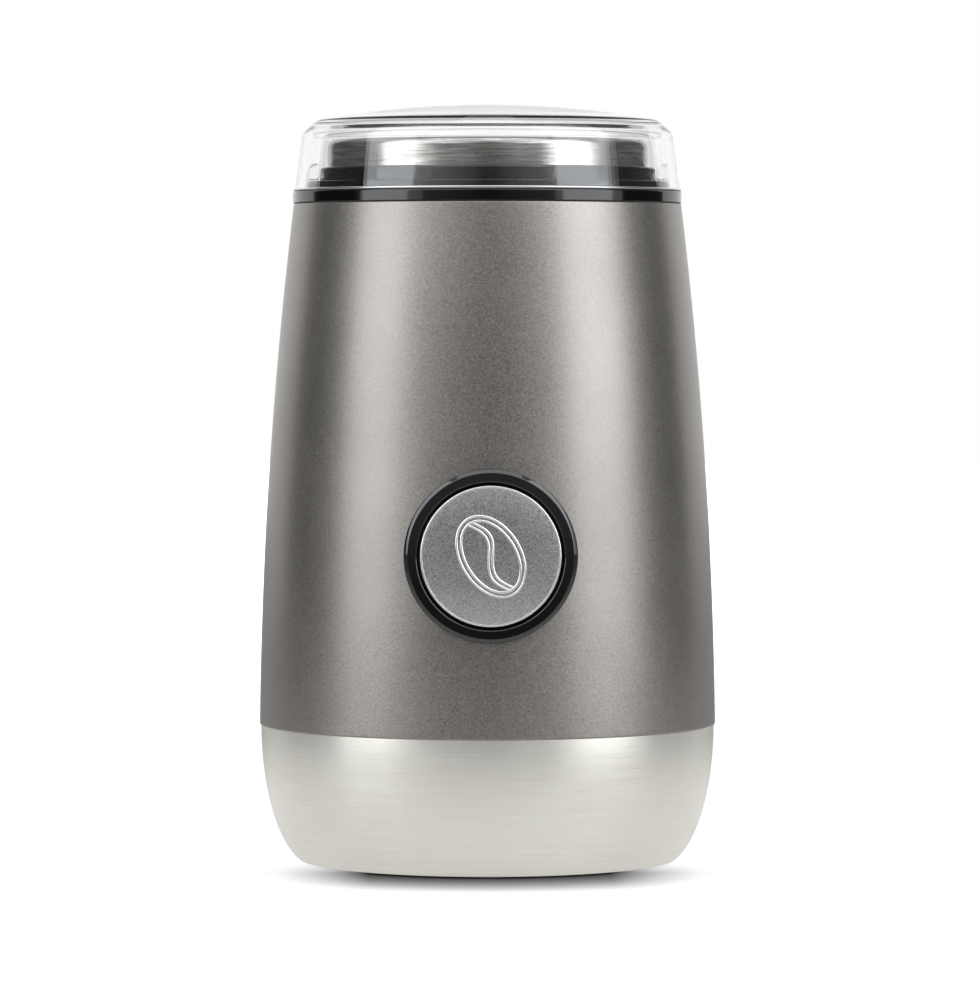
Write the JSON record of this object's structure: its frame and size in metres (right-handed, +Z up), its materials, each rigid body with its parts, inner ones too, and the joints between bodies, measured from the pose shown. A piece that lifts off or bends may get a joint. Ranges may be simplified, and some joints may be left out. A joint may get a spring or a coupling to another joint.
{
  "type": "electric coffee grinder",
  "caption": "Upright blade coffee grinder: tapered painted shell on a steel ring, black collar, steel bowl under a clear lift-off lid, round push button in front.",
  "frame": {"origin": "on the motor axis at floor level, under the feet", "axes": "+Z up along the motor axis, -Y towards the push button, +X to the right seen from the button"},
  "size_m": [0.1002, 0.1031, 0.1662],
  "materials": {
    "steel_brushed": "brushed round the ring",
    "steel_bowl": "drawn, brushed round the wall",
    "steel_blade": "ground",
    "steel_shaft": "ground",
    "steel_screws": "zinc plated",
    "steel_spring": "drawn wire and strip",
    "steel_laminated": "blued sheet stack",
    "paint_taupe": "satin metallic paint",
    "gloss_black": "polished moulding",
    "gloss_bezel": "polished moulding",
    "cap_grey": "fine silver speckle under lacquer",
    "clear_lid": "clear polished moulding",
    "plastic_base": "fine moulded grain",
    "plastic_frame": "glass-filled moulding",
    "plastic_switch": "moulded",
    "plastic_stem": "natural moulding",
    "plastic_rod": "natural moulding",
    "plastic_fan": "moulded",
    "plastic_hub": "moulded",
    "plastic_capacitor": "box moulding",
    "plastic_terminal": "moulded",
    "alloy_bracket": "die cast",
    "bronze_bush": "sintered, oiled",
    "brass_holder": "pressed sheet",
    "copper_coil": "enamelled wire",
    "copper_commutator": "turned copper",
    "carbon_brush": "pressed graphite",
    "board_green": "lacquered board",
    "rubber_black": "matt rubber"
  },
  "bodies": {
    "housing": {"base_ring": "steel_brushed", "bottom_cover": "plastic_base", "rubber_feet": "rubber_black", "cover_screws": "steel_screws", "outer_shell": "paint_taupe", "collar": "gloss_black", "grinding_bowl": "steel_bowl", "inner_frame": "plastic_frame", "shaft_seal": "rubber_black", "cord_gland": "rubber_black", "cord_clamp": "plastic_frame", "clamp_screws": "steel_screws", "button_bezel": "gloss_bezel", "button_spring": "steel_spring", "interlock_spring": "steel_spring", "start_switch": "plastic_switch", "lid_switch": "plastic_switch", "upper_bracket": "alloy_bracket", "lower_bracket": "alloy_bracket", "upper_bush": "bronze_bush", "lower_bush": "bronze_bush", "motor_dampers": "rubber_black", "through_bolts": "steel_screws", "stator_core": "steel_laminated", "field_coils": "copper_coil", "brush_plate": "plastic_frame", "brush_holders": "brass_holder", "carbon_brushes": "carbon_brush", "brush_springs": "steel_spring", "circuit_board": "board_green", "suppression_capacitor": "plastic_capacitor", "terminal_block": "plastic_terminal"},
    "lid": {"lid": "clear_lid"},
    "button": {"button_cap": "cap_grey", "button_stem": "plastic_stem"},
    "switch_plunger": {"switch_plunger": "plastic_stem"},
    "interlock": {"interlock_rod": "plastic_rod"},
    "lid_lever": {"lid_switch_lever": "steel_spring"},
    "rotor": {"motor_shaft": "steel_shaft", "armature_core": "steel_laminated", "armature_windings": "copper_coil", "commutator": "copper_commutator", "cooling_fan": "plastic_fan", "blade_hub": "plastic_hub", "grinding_blade": "steel_blade", "blade_nut": "steel_blade"}
  },
  "joints": [
    {"name": "lid_lift", "type": "slide", "parent": "housing", "child": "lid", "axis": [0, 0, 1], "range_m": [0, 0.06]},
    {"name": "button_press", "type": "slide", "parent": "housing", "child": "button", "axis": [0, 1, 0], "range_m": [0, 0.002], "stiffness_N_per_m": 400, "springref_m": -0.004, "deforming": ["button_spring"]},
    {"name": "switch_press", "type": "slide", "parent": "housing", "child": "switch_plunger", "axis": [0, 1, 0], "range_m": [0, 0.002]},
    {"name": "interlock_rise", "type": "slide", "parent": "housing", "child": "interlock", "axis": [0, 0, 1], "range_m": [0, 0.003], "deforming": ["interlock_spring"]},
    {"name": "lid_lever_turn", "type": "hinge", "parent": "housing", "child": "lid_lever", "pos_m": [0.0383, -0.008, 0.1051], "axis": [1, 0, 0], "range_deg": [0, 14.5]},
    {"name": "rotor_spin", "type": "hinge", "parent": "housing", "child": "rotor", "pos_m": [0, 0, 0.1], "axis": [0, 0, 1], "continuous": true}
  ],
  "couplings": [
    {"joint": "interlock_rise", "follows": "lid_lift", "ratio": 0.05},
    {"joint": "lid_lever_turn", "follows": "lid_lift", "rad_per_m": 4.1667},
    {"joint": "switch_press", "follows": "button_press", "ratio": 1}
  ]
}
